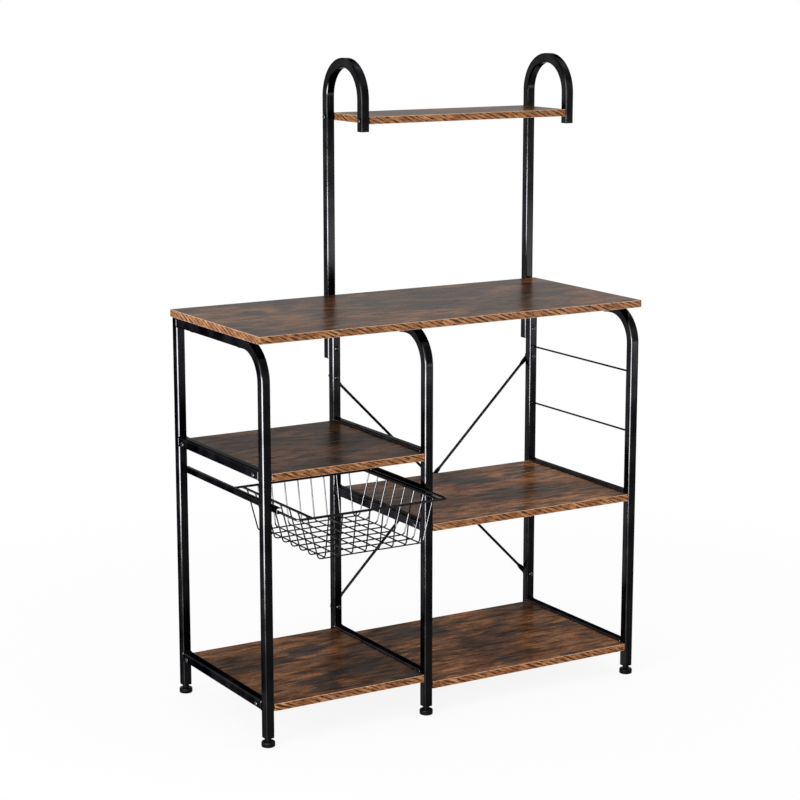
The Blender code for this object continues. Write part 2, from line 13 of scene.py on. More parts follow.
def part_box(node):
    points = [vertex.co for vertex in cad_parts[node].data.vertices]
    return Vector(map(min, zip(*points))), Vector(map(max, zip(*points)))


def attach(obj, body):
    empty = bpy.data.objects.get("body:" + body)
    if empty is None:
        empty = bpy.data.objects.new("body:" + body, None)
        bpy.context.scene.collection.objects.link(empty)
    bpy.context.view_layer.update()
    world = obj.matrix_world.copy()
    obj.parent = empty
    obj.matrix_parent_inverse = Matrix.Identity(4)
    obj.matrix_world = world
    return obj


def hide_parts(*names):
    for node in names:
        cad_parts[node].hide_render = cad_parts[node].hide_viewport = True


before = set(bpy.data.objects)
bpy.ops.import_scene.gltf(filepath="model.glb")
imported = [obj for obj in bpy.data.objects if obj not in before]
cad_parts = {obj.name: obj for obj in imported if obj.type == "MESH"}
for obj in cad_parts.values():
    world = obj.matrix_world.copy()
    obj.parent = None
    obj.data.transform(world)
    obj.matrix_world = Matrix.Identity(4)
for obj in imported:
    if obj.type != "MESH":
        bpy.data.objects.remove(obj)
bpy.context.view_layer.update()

# Bent legs. In each of the three side frames one length of square steel tube rises as the front leg
# and bends back into the top rail under the worktop. It is bent cold, welded to the back leg, and
# coated in glossy black enamel with the rest of the frame.
frame_names = ("left", "centre", "right")
tube_wall = 0.0012
tube_corner = 0.004
tube_corner_steps = 6
top_bend_radius = 0.068
bend_step = math.radians(5)
sharp_angle = math.radians(40)
seam_width = 0.00002
across = Vector((1, 0, 0))
back = Vector((0, 1, 0))
up = Vector((0, 0, 1))

# A layer of noise is its scale and detail, and perhaps how far it is drawn out.
enamel_cloud_layer = (24, 4)
enamel_speck_layer = (900, 2)
enamel_ripple_scale = 260
enamel_ripple_detail = 2
enamel_ripple_depth = 0.00001
enamel_dark = (0.0050, 0.0050, 0.0056)
enamel_pale = (0.0085, 0.0084, 0.0088)
enamel_dust = (0.013, 0.0128, 0.0125)
enamel_dust_share = 0.35
enamel_rim_tint = 0.33
enamel_front_lift = 4
enamel_side_lift = 5
enamel_roughness = (0.13, 0.20)


def node(tree, kind, inputs, **settings):
    """Add a shader node. An input is either a value or the socket that feeds it."""
    made = tree.nodes.new("ShaderNode" + kind)
    for name, value in settings.items():
        setattr(made, name, value)
    for name, value in inputs.items():
        if isinstance(value, bpy.types.NodeSocket):
            tree.links.new(value, made.inputs[name])
        else:
            made.inputs[name].default_value = value
    return made


def ramp(tree, value, stops):
    """A colour ramp fed by a value, with stops of (place, colour)."""
    made = node(tree, "ValToRGB", {"Fac": value})
    while len(made.color_ramp.elements) < len(stops):
        made.color_ramp.elements.new(1)
    for element, (place, colour) in zip(made.color_ramp.elements, stops):
        element.position = place
        element.color = (*colour, 1)
    return made.outputs["Color"]


def levels(tree, value, span, result, way="SMOOTHSTEP"):
    """A value stretched from one span to another, and held at the ends."""
    return node(tree, "MapRange", {"Value": value, "From Min": span[0], "From Max": span[1],
                                   "To Min": result[0], "To Max": result[1]},
                interpolation_type=way).outputs["Result"]


def noise(tree, place, scale, detail, stretch=(1, 1, 1), shift=(0, 0, 0)):
    """Noise on the given coordinates, whose features are drawn out where stretch is small."""
    turned = node(tree, "Mapping", {"Vector": place, "Scale": stretch, "Location": shift})
    return node(tree, "TexNoise", {"Vector": turned.outputs["Vector"], "Scale": scale,
                                   "Detail": detail}).outputs["Fac"]


def worked(tree, operation, first, second=0):
    """One or two values put through a sum."""
    return node(tree, "Math", {0: first, 1: second}, operation=operation).outputs["Value"]


def blended(tree, share, under, over, way="MIX"):
    """One colour over another by a share. The upper one may be a plain colour."""
    if isinstance(over, tuple):
        over = (*over, 1)
    return node(tree, "MixRGB", {"Fac": share, "Color1": under, "Color2": over},
                blend_type=way).outputs["Color"]


def brightened(tree, colour, level):
    """A colour made brighter or darker by a value."""
    return node(tree, "VectorMath", {0: colour, "Scale": level}, operation="SCALE").outputs["Vector"]


def toned(colour, level):
    """A plain colour made brighter or darker by a number."""
    return tuple(part * level for part in colour)


def new_finish(name):
    """A new material with its tree, its shader and its object coordinates."""
    finish = bpy.data.materials.new(name)
    finish.use_nodes = True
    tree = finish.node_tree
    place = node(tree, "TexCoord", {}).outputs["Object"]
    return finish, tree, tree.nodes["Principled BSDF"], place


def feed(tree, shader, **sockets):
    """Link sockets to the shader's inputs, whose names are given with underscores."""
    for name, socket in sockets.items():
        tree.links.new(socket, shader.inputs[name.replace("_", " ")])


def bumped(tree, height, depth):
    """A surface made uneven by a height, to a depth in metres."""
    return node(tree, "Bump", {"Height": height, "Distance": depth, "Strength": 1}).outputs["Normal"]


def enamel_finish(name, ripple_scale, ripple_depth, shine=1):
    """Stove enamel over steel: deep black, a little dusty, with a faint orange peel.

    It shines more where it faces the eye and where it turns away, as a clear glaze over black does.
    """
    finish, tree, shader, place = new_finish(name)
    rim_tint = enamel_rim_tint * shine
    shader.inputs["Metallic"].default_value = 1
    shader.inputs["Specular Tint"].default_value = (rim_tint, rim_tint, rim_tint, 1)
    cloud = noise(tree, place, *enamel_cloud_layer)
    speck = noise(tree, place, *enamel_speck_layer)
    ripple = noise(tree, place, ripple_scale, enamel_ripple_detail)
    tone = ramp(tree, cloud, [(0.35, toned(enamel_dark, shine)), (0.70, toned(enamel_pale, shine))])
    dusty = blended(tree, levels(tree, speck, (0.70, 0.80), (0, enamel_dust_share)), tone, enamel_dust)
    turned = node(tree, "LayerWeight", {"Blend": 0.5}).outputs["Facing"]
    front_lift = levels(tree, turned, (0.03, 0.13), (enamel_front_lift, 0))
    side_lift = levels(tree, turned, (0.28, 0.50), (1, enamel_side_lift))
    lift = worked(tree, "ADD", side_lift, front_lift)
    gloss = levels(tree, cloud, (0.30, 0.75), enamel_roughness)
    feed(tree, shader, Base_Color=brightened(tree, dusty, lift), Roughness=gloss,
         Normal=bumped(tree, ripple, ripple_depth))
    return finish


black_enamel = enamel_finish("black_enamel", enamel_ripple_scale, enamel_ripple_depth)


def only(items, kind):
    """The items of one kind among those that an operator made."""
    return [item for item in items if isinstance(item, kind)]


def ends_of(edges):
    """The vertices of some edges, each once and in order."""
    return list(dict.fromkeys(vert for edge in edges for vert in edge.verts))


def new_edges(bm, before):
    """The edges that were added to the mesh since the given ones."""
    return [edge for edge in bm.edges if edge not in before]


def drawn_out(bm, edges):
    """Extrude a loop of edges on the spot, and return the new loop."""
    return only(bmesh.ops.extrude_edge_only(bm, edges=edges)["geom"], bmesh.types.BMEdge)


def bevelled(bm, geom, offset, steps, affect="EDGES"):
    """Round edges or corners over."""
    bmesh.ops.bevel(bm, geom=geom, offset=offset, segments=steps, affect=affect, profile=0.5,
                    material=-1)


def square_section(bm, side, corner, steps):
    """The outline of a square tube with rounded corners, flat round the origin."""
    before = set(bm.edges)
    made = bmesh.ops.create_grid(bm, x_segments=1, y_segments=1, size=side / 2)
    bevelled(bm, made["verts"], corner, steps, "VERTICES")
    edges = new_edges(bm, before)
    faces = list({face for edge in edges for face in edge.link_faces})
    bmesh.ops.delete(bm, geom=faces, context="FACES_ONLY")
    return edges


def turned_to(direction, point):
    """A matrix that takes local Z to the direction and the origin to the point."""
    turn = up.rotation_difference(Vector(direction)).to_matrix().to_4x4()
    return Matrix.Translation(Vector(point)) @ turn


def sweep(bm, edges, start, heading, moves):
    """Draw a section out from start, and return the loop at its far end.

    A move is the length of a straight run, or a bend: its radius, angle and way to its centre.
    """
    bmesh.ops.transform(bm, matrix=turned_to(heading, start), verts=ends_of(edges))
    point = Vector(start)
    heading = Vector(heading)
    for move in moves:
        if isinstance(move, tuple):
            radius, angle, side = move
            axis = heading.cross(side)
            centre = point + side * radius
            made = bmesh.ops.spin(bm, geom=ends_of(edges) + edges, cent=centre, axis=axis, angle=angle,
                                  steps=max(2, round(angle / bend_step)), use_duplicate=False)
            edges = only(made["geom_last"], bmesh.types.BMEdge)
            turn = Matrix.Rotation(angle, 3, axis)
            point = centre + turn @ (point - centre)
            heading = turn @ heading
        else:
            edges = drawn_out(bm, edges)
            bmesh.ops.translate(bm, vec=heading * move, verts=ends_of(edges))
            point = point + heading * move
    return edges


def finished(bm, name, finishes, slot, body, *nodes):
    """Turn a mesh drawing into a piece that rides on a body and stands for CAD nodes."""
    bmesh.ops.remove_doubles(bm, verts=bm.verts, dist=seam_width)
    bmesh.ops.recalc_face_normals(bm, faces=bm.faces)
    mesh = bpy.data.meshes.new(name)
    bm.to_mesh(mesh)
    bm.free()
    mesh.shade_smooth()
    mesh.set_sharp_from_angle(angle=sharp_angle)
    for finish in finishes:
        mesh.materials.append(finish)
    piece = bpy.data.objects.new(name, mesh)
    bpy.context.scene.collection.objects.link(piece)
    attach(piece, body)
    if nodes:
        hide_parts(*nodes)
    return piece


def flat_faced(piece):
    """Keep a piece's flats flat beside its rounded edges."""
    piece.modifiers.new("Flat faces stay flat", "WEIGHTED_NORMAL").keep_sharp = True


def walled(piece, wall):
    """Give a sheet or tube its wall inside the drawn face."""
    made = piece.modifiers.new("Wall", "SOLIDIFY")
    made.thickness = wall
    made.offset = -1
    made.use_even_offset = True
    flat_faced(piece)


def square_tube(name, start, heading, moves, *nodes):
    """A length of enamelled square tube, open at both ends."""
    bm = bmesh.new()
    edges = square_section(bm, tube_side, tube_corner, tube_corner_steps)
    sweep(bm, edges, start, heading, moves)
    walled(finished(bm, name, [black_enamel], "black_enamel", "stand", *nodes), tube_wall)


def middle_of(cad_node):
    """The middle of a CAD node's box, and half its size."""
    low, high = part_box(cad_node)
    return (low + high) / 2, (high - low) / 2


tube_side = middle_of("left_back_leg")[1].x * 2
half_side = tube_side / 2
for frame_name in frame_names:
    cad_name = frame_name + "_bent_leg"
    low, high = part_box(cad_name)
    foot_end = Vector((low.x + half_side, low.y + half_side, low.z))
    upright = high.z - half_side - top_bend_radius - low.z
    top_rail = high.y - low.y - half_side - top_bend_radius
    square_tube(frame_name + "_front_leg_tube", foot_end, up,
                [upright, (top_bend_radius, math.pi / 2, back), top_rail], cad_name)

# Back legs. A straight length of the same tube stands behind each bent leg, from its foot to the
# underside of the worktop, and the end of the top rail is welded to its front face.
for frame_name in frame_names:
    cad_name = frame_name + "_back_leg"
    middle, half = middle_of(cad_name)
    square_tube(frame_name + "_back_leg_tube", middle - up * half.z, up, [2 * half.z], cad_name)

# Rails. Short tubes are welded between the front and back legs at the height of each board, so the
# boards hang between the frames. The weld runs round each tube end and is enamelled over.
rail_names = ("left_shelf_rail", "left_floor_rail", "centre_left_shelf_rail", "centre_right_shelf_rail",
              "centre_floor_rail", "right_shelf_rail", "right_floor_rail")
weld_radius = 0.0011
weld_sides = 10
weld_ripple_scale = 700
weld_ripple_depth = 0.00025
weld_enamel = enamel_finish("enamelled_weld", weld_ripple_scale, weld_ripple_depth)


def round_section(bm, radius, sides):
    """The outline of a round rod, flat round the origin."""
    before = set(bm.edges)
    bmesh.ops.create_circle(bm, cap_ends=False, segments=sides, radius=radius)
    return new_edges(bm, before)


def route(corners, radius):
    """The start, heading and moves of a rod that follows corners, each bent to a radius."""
    corners = [Vector(corner) for corner in corners]
    runs = [after - before for before, after in zip(corners, corners[1:])]
    moves = []
    used = 0
    for run, following in zip(runs, runs[1:]):
        angle = run.angle(following)
        tangent = radius * math.tan(angle / 2)
        side = (following - following.project(run)).normalized()
        moves += [run.length - used - tangent, (radius, angle, side)]
        used = tangent
    moves.append(runs[-1].length - used)
    return corners[0], runs[0].normalized(), moves


def ring_weld(bm, middle):
    """A weld bead round a square tube that ends at the point, on a face square to Y."""
    corners = [middle + up * half_side, middle + (up + across) * half_side,
               middle + (across - up) * half_side, middle - (across + up) * half_side,
               middle + (up - across) * half_side, middle + up * half_side]
    sweep(bm, round_section(bm, weld_radius, weld_sides), *route(corners, tube_corner))


for cad_name in rail_names:
    middle, half = middle_of(cad_name)
    square_tube(cad_name + "_tube", middle - back * half.y, back, [2 * half.y], cad_name)

for frame_name in frame_names:
    bm = bmesh.new()
    for cad_name in rail_names:
        if cad_name.startswith(frame_name):
            middle, half = middle_of(cad_name)
            ring_weld(bm, middle - back * half.y)
            ring_weld(bm, middle + back * half.y)
    low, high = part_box(frame_name + "_bent_leg")
    ring_weld(bm, Vector((low.x + half_side, high.y, high.z - half_side)))
    finished(bm, frame_name + "_frame_welds", [weld_enamel], "black_enamel", "stand")

# Side rods. Two thin steel rods cross the right frame above the shelf, to keep a microwave from being
# pushed off. Each is welded to the legs with a small round bead.
rod_sides = 20
rod_weld_radius = 0.0034
rod_weld_height = 0.0016
rod_weld_steps = 5


def rod(bm, radius, sides, corners, bend_radius):
    """A solid round rod along corners, closed at its ends."""
    first = round_section(bm, radius, sides)
    last = sweep(bm, first, *route(corners, bend_radius))
    bmesh.ops.holes_fill(bm, edges=first + last)


def lathe(bm, outline, steps):
    """Turn an outline of (radius, height) points about Z, and return its faces' vertices."""
    verts = [bm.verts.new((radius, 0, height)) for radius, height in outline]
    edges = [bm.edges.new(pair) for pair in zip(verts, verts[1:])]
    before = set(bm.verts) - set(verts)
    bmesh.ops.spin(bm, geom=verts + edges, cent=(0, 0, 0), axis=up, angle=math.tau, steps=steps,
                   use_merge=True, use_duplicate=False)
    return [vert for vert in bm.verts if vert not in before]


def arc(radius, height, start, end, steps):
    """Points of an elliptical arc from one angle to another, both in quarter turns."""
    angles = [math.pi / 2 * (start + (end - start) * step / steps) for step in range(steps + 1)]
    return [(radius * math.cos(angle), height * math.sin(angle)) for angle in angles]


for rod_name in ("right_side_rod_upper", "right_side_rod_lower"):
    middle, half = middle_of(rod_name)
    bm = bmesh.new()
    rod(bm, half.x, rod_sides, [middle - back * half.y, middle + back * half.y], 0)
    for way in (-1, 1):
        bead = lathe(bm, arc(rod_weld_radius, rod_weld_height, 0, 1, rod_weld_steps), rod_sides)
        bmesh.ops.transform(bm, matrix=turned_to(back * -way, middle + back * way * half.y), verts=bead)
    finished(bm, rod_name + "_steel", [black_enamel], "black_enamel", "stand", rod_name)

# Floor angle. The centre frame's floor rail carries the left floor board, and the right one lies
# lower, so a folded steel angle under the rail holds its inner end.
angle_wall = 0.0015
fold_radius = 0.0022
fold_steps = 4


def folded_sheet(name, points, length, wall, cad_node):
    """A folded steel section along Y from its outer corners, in one vertical plane."""
    bm = bmesh.new()
    verts = [bm.verts.new(point) for point in points]
    edges = [bm.edges.new(pair) for pair in zip(verts, verts[1:])]
    far_edges = drawn_out(bm, edges)
    bmesh.ops.translate(bm, vec=back * length, verts=ends_of(far_edges))
    folds = [edge for edge in bm.edges if len(edge.link_faces) == 2]
    bevelled(bm, folds, fold_radius, fold_steps)
    walled(finished(bm, name, [black_enamel], "black_enamel", "stand", cad_node), wall)


low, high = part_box("centre_floor_angle")
folded_sheet("centre_floor_angle_sheet",
             [(low.x, low.y, high.z), (low.x, low.y, low.z), (high.x, low.y, low.z)],
             high.y - low.y, angle_wall, "centre_floor_angle")

# Plugs. A moulded square plug of black plastic closes the lower end of each leg. It is pressed in as
# far as its flange, and the foot's thread runs in it.
leg_ends = ("left_front", "left_back", "centre_front", "centre_back", "right_front", "right_back")
plug_flange = 0.002
plug_edge_round = 0.0005
plug_round_steps = 3
spark_layer = (1900, 2)
spark_depth = 0.00003
plastic_cloud_layer = (60, 3)
plastic_dark = (0.003, 0.003, 0.0034)
plastic_pale = (0.006, 0.006, 0.0064)
plastic_shine = 0.03
plastic_roughness = (0.28, 0.44)


def plastic_finish(name):
    """Moulded black plastic with a fine spark texture."""
    finish, tree, shader, place = new_finish(name)
    shader.inputs["Specular IOR Level"].default_value = plastic_shine
    spark = noise(tree, place, *spark_layer)
    cloud = noise(tree, place, *plastic_cloud_layer)
    tone = ramp(tree, cloud, [(0.30, plastic_dark), (0.70, plastic_pale)])
    dull = levels(tree, spark, (0.30, 0.70), plastic_roughness)
    feed(tree, shader, Base_Color=tone, Roughness=dull, Normal=bumped(tree, spark, spark_depth))
    return finish


black_plastic = plastic_finish("black_plastic")


def level_edges(bm):
    """The edges of a mesh that lie level."""
    return [edge for edge in bm.edges if abs(edge.verts[0].co.z - edge.verts[1].co.z) < seam_width]


def plug(name, foot, flange, depth, *nodes):
    """A square plug over a point: its flange lies outside the tube, and its stem goes up into it."""
    bm = bmesh.new()
    outer = square_section(bm, tube_side, tube_corner, tube_corner_steps)
    cap = bmesh.ops.holes_fill(bm, edges=outer)["faces"]
    made = bmesh.ops.extrude_face_region(bm, geom=cap)["geom"]
    bmesh.ops.translate(bm, vec=up * flange, verts=only(made, bmesh.types.BMVert))
    bevelled(bm, level_edges(bm), plug_edge_round, plug_round_steps)
    stem_side = tube_side - 2 * tube_wall - 2 * plug_edge_round
    stem = square_section(bm, stem_side, tube_corner - tube_wall, tube_corner_steps)
    bmesh.ops.translate(bm, vec=up * flange, verts=ends_of(stem))
    bmesh.ops.holes_fill(bm, edges=sweep(bm, stem, (0, 0, 0), up, [depth]))
    bmesh.ops.transform(bm, matrix=Matrix.Translation(foot), verts=bm.verts)
    finished(bm, name, [black_plastic], "black_plastic", "stand", *nodes)


for leg_end in leg_ends:
    middle, half = middle_of("plug_" + leg_end)
    plug(leg_end + "_leg_plug", middle - up * half.z, plug_flange, 2 * half.z - plug_flange,
         "plug_" + leg_end)

# Levelling feet. Each is a turned plastic disc with a collar, moulded onto a threaded steel stud, and
# screws up into the leg's plug.
foot_steps = 40
foot_disc_height = 0.011
foot_edge_round = 0.003
foot_lower_round = 0.0015
foot_round_steps = 5
foot_collar_radius = 0.0065
foot_collar_round = 0.001
foot_stud_radius = 0.004
foot_collar_top = 0.0177
thread_pitch = 0.00125
thread_depth = 0.0006
zinc_smear_layer = (160, 3)
zinc_grain_layer = (2600, 2)
zinc_grain_depth = 0.00001
zinc_pale = (0.045, 0.045, 0.048)
zinc_dark_share = 0.6
zinc_roughness = (0.18, 0.32)


def zinc_finish(name):
    """Zinc plated and blackened steel, with faint turning marks and smears."""
    finish, tree, shader, place = new_finish(name)
    shader.inputs["Metallic"].default_value = 1
    smear = noise(tree, place, *zinc_smear_layer)
    grain = noise(tree, place, *zinc_grain_layer)
    tone = ramp(tree, smear, [(0.30, toned(zinc_pale, zinc_dark_share)), (0.70, zinc_pale)])
    gloss = levels(tree, smear, (0.30, 0.75), zinc_roughness)
    feed(tree, shader, Base_Color=tone, Roughness=gloss, Normal=bumped(tree, grain, zinc_grain_depth))
    return finish


black_zinc = zinc_finish("black_zinc")


def thread(radius, top, bottom):
    """The zigzag outline of a screw thread between two heights."""
    count = max(1, math.floor((top - bottom) / thread_pitch))
    points = []
    for turn in range(count):
        crest = top - turn * thread_pitch
        points += [(radius, crest), (radius - thread_depth, crest - thread_pitch / 2)]
    return points


def rounded(radius, height, round_radius, steps):
    """The rounded outer edge of a disc's upper face, from inside to outside."""
    return [(radius - round_radius + out, height - round_radius + rise)
            for out, rise in arc(round_radius, round_radius, 1, 0, steps)]


for leg_end in leg_ends:
    cad_name = "foot_" + leg_end
    middle, half = middle_of(cad_name)
    disc_radius = half.x
    lower_edge = [(radius, foot_disc_height - height) for radius, height in
                  reversed(rounded(disc_radius, foot_disc_height, foot_lower_round, foot_round_steps))]
    outline = ([(0, foot_collar_top)]
               + rounded(foot_collar_radius, foot_collar_top, foot_collar_round, foot_round_steps)
               + [(foot_collar_radius, foot_disc_height)]
               + rounded(disc_radius, foot_disc_height, foot_edge_round, foot_round_steps)
               + lower_edge + [(0, 0)])
    bm = bmesh.new()
    lathe(bm, outline, foot_steps)
    bmesh.ops.translate(bm, vec=(middle.x, middle.y, 0), verts=bm.verts)
    finished(bm, leg_end + "_foot_disc", [black_plastic], "black_plastic", cad_name, cad_name)
    bm = bmesh.new()
    lathe(bm, [(0, 2 * half.z)] + thread(foot_stud_radius, 2 * half.z, foot_collar_top)
          + [(foot_stud_radius, foot_disc_height), (0, foot_disc_height)], rod_sides)
    bmesh.ops.translate(bm, vec=(middle.x, middle.y, 0), verts=bm.verts)
    finished(bm, leg_end + "_foot_stud", [black_zinc], "black_zinc", cad_name)

# Boards. The worktop, the four lower boards and the hutch shelf are 15 mm particle board, faced on
# both sides with a printed rustic brown laminate. Their edges carry a printed wood band, glued on
# and eased, and the eased corner is coloured lighter as a painted highlight along the edge.
edge_round = 0.0008
edge_round_steps = 2
corner_round = 0.002
corner_round_steps = 5
face_lean_share = 0.98
band_lean_share = 0.02

# Each board's tone and sheen, and how far apart on the print the boards are cut. All boards share one
# laminate, so the tones carry painted light and shade: each board is set lighter or darker for how
# brightly it is lit, over the print's own brown.
plank_lit_tones_and_sheens = {"worktop": (0.070, 0.0138), "left_shelf": (0.064, 0.0090), "right_shelf": (0.150, 0.0115),
               "left_floor_board": (0.098, 0.0075), "right_floor_board": (0.122, 0.0074),
               "hutch_shelf": (0.061, 0.0079)}
print_steps = (1.7, 0.9, 0.4)

# The laminate's layers, drawn out along the board, and its colours at a tone of one
drift_scale = 7
drift_detail = 3
drift_reach = (0.016, 0.016, 0)
patch_layer = (8, 6, (0.60, 1, 1))
grain_layer = (60, 8, (0.26, 1, 1))
pore_layer = (170, 6, (0.12, 1, 1))
fleck_layer = (240, 3, (0.50, 1, 1))
fibre_layer = (1000, 3, (0.045, 1, 1))
smudge_layer = (12, 8, (0.62, 1, 1))
smudge_shift = Vector((3, 1, 0))
patch_stops = [(0.43, (0.62, 0.28, 0.13)), (0.50, (1.00, 0.42, 0.17)), (0.58, (1.70, 0.74, 0.30))]
grain_stops = [(0.36, (0.58, 0.56, 0.55)), (0.46, (0.87, 0.86, 0.85)), (0.58, (1.28, 1.26, 1.22))]
pore_stops = [(0.36, (0.50, 0.48, 0.47)), (0.50, (0.96, 0.96, 0.96)), (0.64, (1.42, 1.38, 1.32))]
fleck_levels = (0.74, 1.26)
smudge_colour = (0.22, 0.17, 0.14)
smudge_share = 0.85
smudge_rag = 0.05
laminate_roughness = (0.26, 0.34)
sheen_shares = (0.60, 1.40)
fibre_depth = 0.00003

# Knots: dark cores in a few cells of the print, with rings that fade outwards
knot_stretch = (0.45, 1, 1)
knot_cell_scale = 5.0
knot_ring_scale = 190
knot_ring_reach = (0.05, 0.17)
knot_core_reach = (0.018, 0.055)
knot_ring_share = 0.55
knot_core_share = 0.9
knot_colour = (0.16, 0.10, 0.07)


def laminate_finish(name, tone, sheen, shift):
    """A rustic oak print: mottled brown, charcoal smudges, fine grain along X and a few knots."""
    finish, tree, shader, place = new_finish(name)
    drift = node(tree, "TexNoise", {"Vector": place, "Scale": drift_scale, "Detail": drift_detail})
    bend = node(tree, "VectorMath", {0: drift.outputs["Color"], 1: drift_reach}, operation="MULTIPLY")
    warped = node(tree, "VectorMath", {0: place, 1: bend.outputs["Vector"]}, operation="ADD")
    wavy = warped.outputs["Vector"]
    grain = noise(tree, wavy, *grain_layer, shift)
    pores = noise(tree, wavy, *pore_layer, shift)
    flecks = noise(tree, place, *fleck_layer, shift)
    fibres = noise(tree, place, *fibre_layer, shift)
    # The tone scales the print's browns and also carries the board's painted light and shade.
    patches = ramp(tree, noise(tree, wavy, *patch_layer, shift),
                   [(stop, toned(colour, tone)) for stop, colour in patch_stops])
    grained = blended(tree, 1, patches, ramp(tree, grain, grain_stops), "MULTIPLY")
    porous = blended(tree, 1, grained, ramp(tree, pores, pore_stops), "MULTIPLY")
    flecked = brightened(tree, porous, levels(tree, flecks, (0.36, 0.64), fleck_levels))
    smudges = noise(tree, wavy, *smudge_layer, shift + smudge_shift)
    rag = levels(tree, pores, (0.30, 0.70), (smudge_rag, -smudge_rag), "LINEAR")
    ragged = worked(tree, "ADD", smudges, rag)
    smudge = levels(tree, ragged, (0.53, 0.62), (0, smudge_share))
    smudged = blended(tree, smudge, flecked, toned(smudge_colour, tone))
    drawn = node(tree, "Mapping", {"Vector": wavy, "Scale": knot_stretch, "Location": shift})
    cells = node(tree, "TexVoronoi", {"Vector": drawn.outputs["Vector"], "Scale": knot_cell_scale,
                                      "Randomness": 1})
    distance = cells.outputs["Distance"]
    wave = worked(tree, "SINE", worked(tree, "MULTIPLY", distance, knot_ring_scale))
    rings = worked(tree, "MULTIPLY", levels(tree, wave, (-0.2, 0.9), (0, knot_ring_share)),
                   levels(tree, distance, knot_ring_reach, (1, 0)))
    core = levels(tree, distance, knot_core_reach, (knot_core_share, 0))
    knot = worked(tree, "MAXIMUM", rings, core)
    colour = blended(tree, knot, smudged, toned(knot_colour, tone))
    gloss = levels(tree, grain, (0.30, 0.70), laminate_roughness)
    shine = levels(tree, grain, (0.40, 0.60), toned(sheen_shares, sheen))
    feed(tree, shader, Base_Color=colour, Roughness=gloss, Specular_IOR_Level=shine,
         Normal=bumped(tree, fibres, fibre_depth))
    return finish


# The edge band's print: its streaks fall towards the right of the edge that is looked at
band_along = (0.92, -0.92, -0.40)
band_over = (0.40, -0.40, 0.92)
band_shine = 0.05
band_roughness = (0.26, 0.36)
mottle_layer = (30, 4, (1, 1, 1), (2, 0, 0))
mottle_stops = [(0.34, (0.225, 0.088, 0.035)), (0.50, (0.360, 0.154, 0.060)),
                (0.66, (0.510, 0.242, 0.104))]
streak_stretch = (0.15, 1, 1)
streak_scale = 40
streak_distortion = 5.0
streak_detail = 2
streak_detail_scale = 1.1
streak_rag = 0.22
streak_share = 0.92
streak_colour = (0.022, 0.010, 0.006)
strength_layer = (55, 2)
band_fibre_layer = (420, 4, (0.12, 1, 1))
band_fibre_stops = [(0.36, (0.40, 0.34, 0.30)), (0.50, (0.95, 0.95, 0.95)), (0.64, (1.25, 1.25, 1.25))]


def band_finish(name):
    """The printed edge band: orange-brown, with dark streaks that fall towards its right."""
    finish, tree, shader, place = new_finish(name)
    shader.inputs["Specular IOR Level"].default_value = band_shine
    along = node(tree, "VectorMath", {0: place, 1: band_along}, operation="DOT_PRODUCT")
    over = node(tree, "VectorMath", {0: place, 1: band_over}, operation="DOT_PRODUCT")
    line = node(tree, "CombineXYZ", {"X": along.outputs["Value"],
                                     "Y": over.outputs["Value"]}).outputs["Vector"]
    mottle = noise(tree, line, *mottle_layer)
    drawn = node(tree, "Mapping", {"Vector": line, "Scale": streak_stretch}).outputs["Vector"]
    streaks = node(tree, "TexWave", {"Vector": drawn, "Scale": streak_scale,
                                     "Distortion": streak_distortion, "Detail": streak_detail,
                                     "Detail Scale": streak_detail_scale},
                   bands_direction="Y").outputs["Fac"]
    rag = levels(tree, mottle, (0.35, 0.65), (-streak_rag, streak_rag), "LINEAR")
    swollen = worked(tree, "ADD", streaks, rag)
    bold = levels(tree, swollen, (0.60, 0.86), (0, streak_share))
    strength = levels(tree, noise(tree, line, *strength_layer), (0.42, 0.52), (0.30, 1))
    fibres = noise(tree, line, *band_fibre_layer)
    grained = blended(tree, 1, ramp(tree, mottle, mottle_stops), ramp(tree, fibres, band_fibre_stops),
                      "MULTIPLY")
    colour = blended(tree, worked(tree, "MULTIPLY", bold, strength), grained, streak_colour)
    gloss = levels(tree, mottle, (0.30, 0.70), band_roughness)
    feed(tree, shader, Base_Color=colour, Roughness=gloss, Normal=bumped(tree, fibres, fibre_depth))
    return finish


# The eased corner's colours are a painted highlight: lighter than the band, for the light its edge
# catches.
highlight_mottle_layer = (90, 3)
painted_highlight_dark = (0.420, 0.235, 0.130)
painted_highlight_pale = (0.720, 0.470, 0.300)
eased_shine = 0.15
eased_roughness = (0.28, 0.42)
eased_depth = 0.00004


def painted_highlight_finish(name):
    """The eased corner of the band, coloured lighter as a painted highlight along the edge."""
    finish, tree, shader, place = new_finish(name)
    shader.inputs["Specular IOR Level"].default_value = eased_shine
    highlight_mottle = noise(tree, place, *highlight_mottle_layer)
    tone = ramp(tree, highlight_mottle, [(0.30, painted_highlight_dark), (0.70, painted_highlight_pale)])
    gloss = levels(tree, highlight_mottle, (0.30, 0.70), eased_roughness)
    feed(tree, shader, Base_Color=tone, Roughness=gloss, Normal=bumped(tree, highlight_mottle, eased_depth))
    return finish


edge_band = band_finish("printed_edge_band")
painted_highlight_edge = painted_highlight_finish("painted_highlight_band_corner")


def board_finish(face):
    """A board face's finish: 0 is the laminate, 1 the band and 2 its eased corner."""
    lean = abs(face.normal.z)
    if lean > face_lean_share:
        return 0
    if lean < band_lean_share:
        return 1
    return 2


